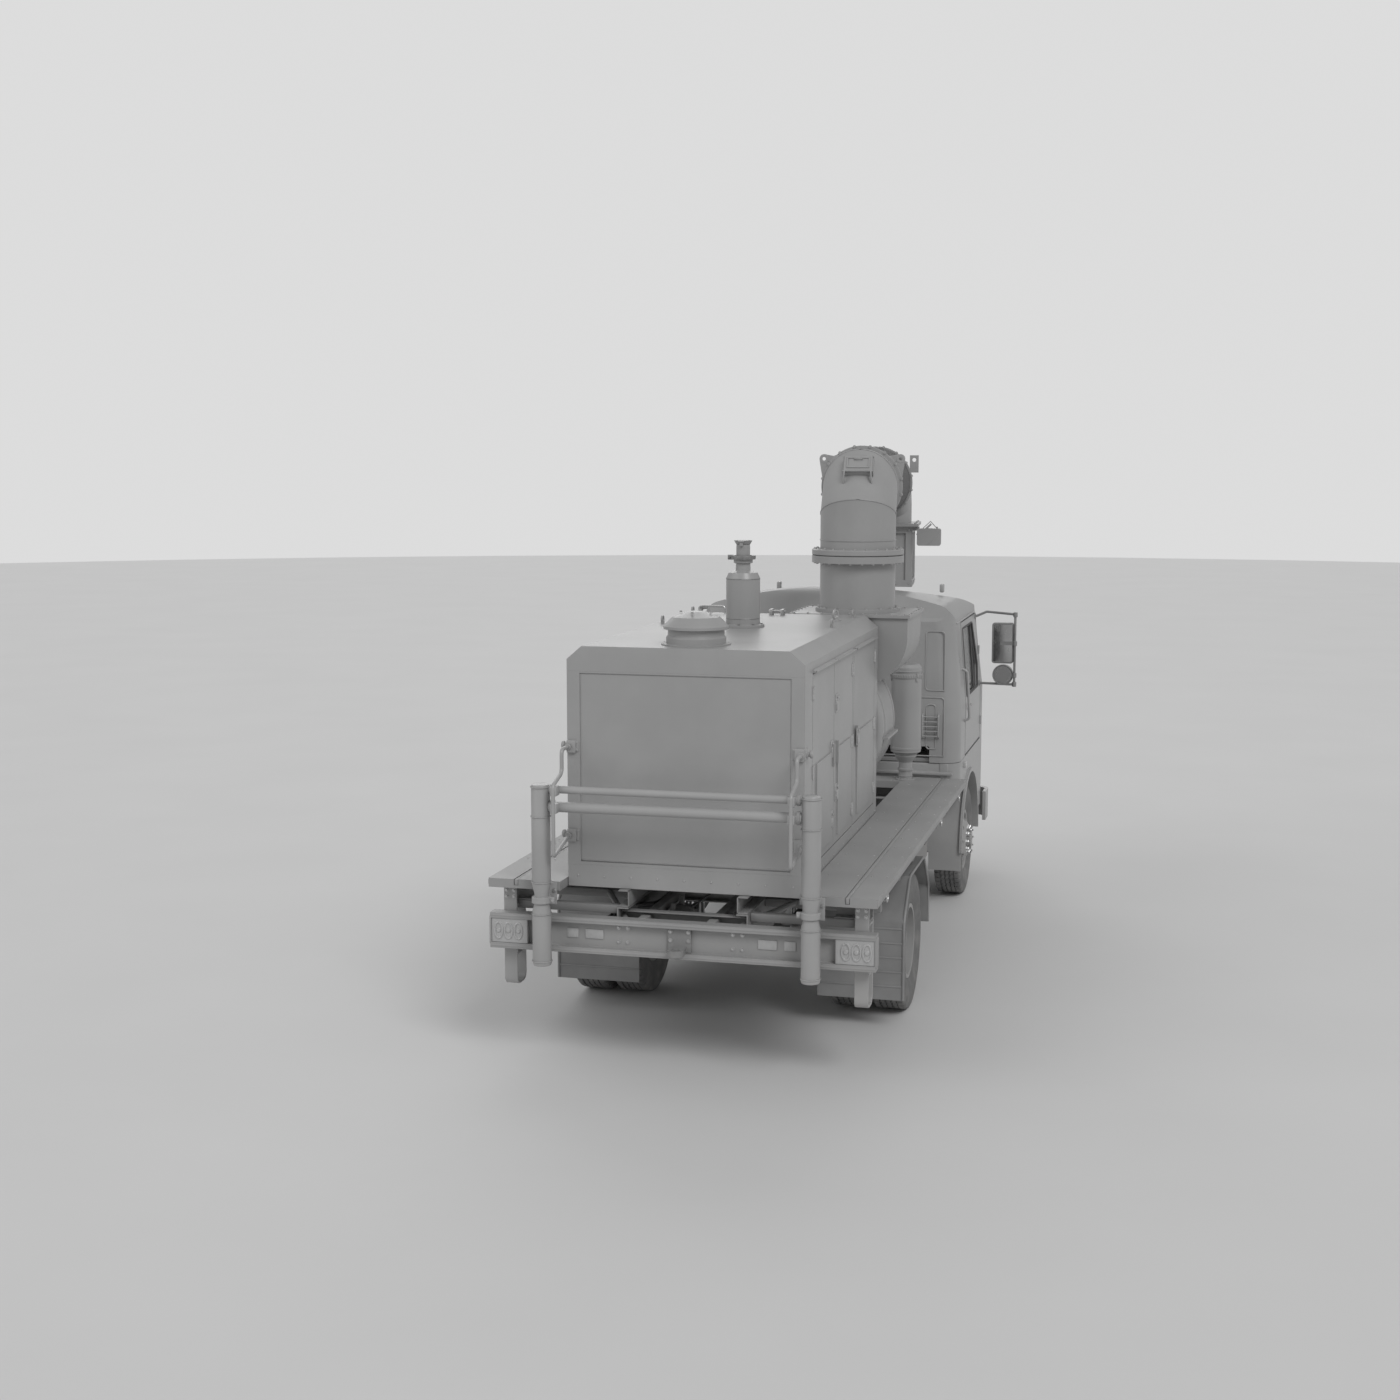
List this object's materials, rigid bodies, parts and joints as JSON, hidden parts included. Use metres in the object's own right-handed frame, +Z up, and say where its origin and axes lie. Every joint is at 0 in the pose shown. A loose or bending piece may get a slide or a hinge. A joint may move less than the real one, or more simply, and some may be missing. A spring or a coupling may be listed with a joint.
{
  "type": "industrial vacuum truck",
  "caption": "Cab-over vacuum truck with a flat deck, a canopied power unit, a fan and duct riser, and a slewing suction boom parked over the cab.",
  "frame": {"origin": "on the floor under the middle of the truck's bounding box", "axes": "+X to the truck's left, front toward -Y, +Z up"},
  "size_m": [2.962, 7.15, 3.947],
  "materials": {
    "chassis_steel": "satin",
    "body_paint": "semi-gloss",
    "deck_paint": "satin",
    "duct_paint": "semi-gloss",
    "guard_paint": "semi-gloss",
    "wheel_paint": "satin",
    "tyre": "matt",
    "hose_rubber": "matt",
    "black_plastic": "matt",
    "glass": "clear",
    "lamp_lens": "ribbed",
    "seat_cloth": "woven",
    "cast_metal": "rough"
  },
  "bodies": {
    "chassis": {"air_cleaner": "duct_paint", "boom_riser": "duct_paint", "cab_back": "body_paint", "cab_floor": "body_paint", "cab_front": "body_paint", "cab_roof": "body_paint", "cab_windows": "glass", "canopy_base": "body_paint", "canopy_roof": "body_paint", "canopy_walls": "body_paint", "chassis_rails": "chassis_steel", "dashboard": "black_plastic", "deck_plates": "deck_paint", "engine_and_gearbox": "cast_metal", "exhaust_stack": "duct_paint", "fan_drum": "duct_paint", "fan_outlet": "duct_paint", "frame_crossmembers": "chassis_steel", "front_axle": "chassis_steel", "front_bumper": "body_paint", "front_fenders": "body_paint", "fuel_tank_and_battery_box": "chassis_steel", "lamps": "lamp_lens", "leaf_springs": "chassis_steel", "power_unit": "cast_metal", "rear_axle": "chassis_steel", "rear_bumper": "deck_paint", "rear_guard": "guard_paint", "rear_mudguards": "black_plastic", "rear_steps": "guard_paint", "roof_vent": "duct_paint", "seats": "seat_cloth", "tow_hitch": "chassis_steel"},
    "knuckle_left": {"steering_knuckle_left": "chassis_steel"},
    "knuckle_right": {"steering_knuckle_right": "chassis_steel"},
    "tie_rod": {"tie_rod": "chassis_steel"},
    "boom": {"boom_elbow": "duct_paint", "boom_hose": "hose_rubber", "suction_head": "duct_paint"},
    "boom_hatch": {"boom_hatch": "duct_paint"},
    "front_wheel_left": {"front_rim_left": "wheel_paint", "front_tyre_left": "tyre"},
    "rear_wheels_left": {"rear_rims_left": "wheel_paint", "rear_tyres_left": "tyre"},
    "cab_door_left": {"cab_door_left": "body_paint", "door_glass_left": "glass", "mirror_left": "black_plastic"},
    "canopy_door_rear_left": {"canopy_door_rear_left": "body_paint"},
    "canopy_door_middle_left": {"canopy_door_middle_left": "body_paint"},
    "canopy_door_front_left": {"canopy_door_front_left": "body_paint"},
    "front_wheel_right": {"front_rim_right": "wheel_paint", "front_tyre_right": "tyre"},
    "rear_wheels_right": {"rear_rims_right": "wheel_paint", "rear_tyres_right": "tyre"},
    "cab_door_right": {"cab_door_right": "body_paint", "door_glass_right": "glass", "mirror_right": "black_plastic"},
    "canopy_door_rear_right": {"canopy_door_rear_right": "body_paint"},
    "canopy_door_middle_right": {"canopy_door_middle_right": "body_paint"},
    "canopy_door_front_right": {"canopy_door_front_right": "body_paint"}
  },
  "joints": [
    {"name": "steering_left", "type": "hinge", "parent": "chassis", "child": "knuckle_left", "pos_m": [0.8, -2.275, 0.48], "axis": [0, 0, 1], "range_deg": [-35, 35]},
    {"name": "front_wheel_spin_left", "type": "hinge", "parent": "knuckle_left", "child": "front_wheel_left", "pos_m": [1.0175, -2.275, 0.48], "axis": [1, 0, 0], "continuous": true},
    {"name": "rear_wheel_spin_left", "type": "hinge", "parent": "chassis", "child": "rear_wheels_left", "pos_m": [0.93, 1.475, 0.48], "axis": [1, 0, 0], "continuous": true},
    {"name": "cab_door_hinge_left", "type": "hinge", "parent": "chassis", "child": "cab_door_left", "pos_m": [1.152, -3.045, 1.85], "axis": [0, 0, -1], "range_deg": [0, 70]},
    {"name": "canopy_door_hinge_rear_left", "type": "hinge", "parent": "chassis", "child": "canopy_door_rear_left", "pos_m": [0.767, 2.975, 1.9], "axis": [0, 0, 1], "range_deg": [0, 95]},
    {"name": "canopy_door_hinge_middle_left", "type": "hinge", "parent": "chassis", "child": "canopy_door_middle_left", "pos_m": [0.767, 1.548, 1.9], "axis": [0, 0, -1], "range_deg": [0, 90]},
    {"name": "canopy_door_hinge_front_left", "type": "hinge", "parent": "chassis", "child": "canopy_door_front_left", "pos_m": [0.767, 0.625, 1.9], "axis": [0, 0, -1], "range_deg": [0, 90]},
    {"name": "steering_right", "type": "hinge", "parent": "chassis", "child": "knuckle_right", "pos_m": [-0.8, -2.275, 0.48], "axis": [0, 0, 1], "range_deg": [-35, 35]},
    {"name": "front_wheel_spin_right", "type": "hinge", "parent": "knuckle_right", "child": "front_wheel_right", "pos_m": [-1.0175, -2.275, 0.48], "axis": [1, 0, 0], "continuous": true},
    {"name": "rear_wheel_spin_right", "type": "hinge", "parent": "chassis", "child": "rear_wheels_right", "pos_m": [-0.93, 1.475, 0.48], "axis": [1, 0, 0], "continuous": true},
    {"name": "cab_door_hinge_right", "type": "hinge", "parent": "chassis", "child": "cab_door_right", "pos_m": [-1.152, -3.045, 1.85], "axis": [0, 0, 1], "range_deg": [0, 70]},
    {"name": "canopy_door_hinge_rear_right", "type": "hinge", "parent": "chassis", "child": "canopy_door_rear_right", "pos_m": [-0.767, 2.975, 1.9], "axis": [0, 0, -1], "range_deg": [0, 95]},
    {"name": "canopy_door_hinge_middle_right", "type": "hinge", "parent": "chassis", "child": "canopy_door_middle_right", "pos_m": [-0.767, 1.548, 1.9], "axis": [0, 0, 1], "range_deg": [0, 90]},
    {"name": "canopy_door_hinge_front_right", "type": "hinge", "parent": "chassis", "child": "canopy_door_front_right", "pos_m": [-0.767, 0.625, 1.9], "axis": [0, 0, 1], "range_deg": [0, 90]},
    {"name": "tie_rod_pivot", "type": "hinge", "parent": "knuckle_left", "child": "tie_rod", "pos_m": [0.8, -2.095, 0.434], "axis": [0, 0, 1], "range_deg": [-36, 36]},
    {"name": "boom_slew", "type": "hinge", "parent": "chassis", "child": "boom", "pos_m": [-0.54, 0.085, 3.12], "axis": [0, 0, 1], "range_deg": [-110, 110]},
    {"name": "boom_hatch_hinge", "type": "hinge", "parent": "boom", "child": "boom_hatch", "pos_m": [-0.54161, 0.10035, 3.87481], "axis": [0.9945, 0.1045, 0], "range_deg": [0, 100]}
  ],
  "couplings": [
    {"joint": "steering_right", "follows": "steering_left", "ratio": 1},
    {"joint": "tie_rod_pivot", "follows": "steering_left", "ratio": -1}
  ]
}
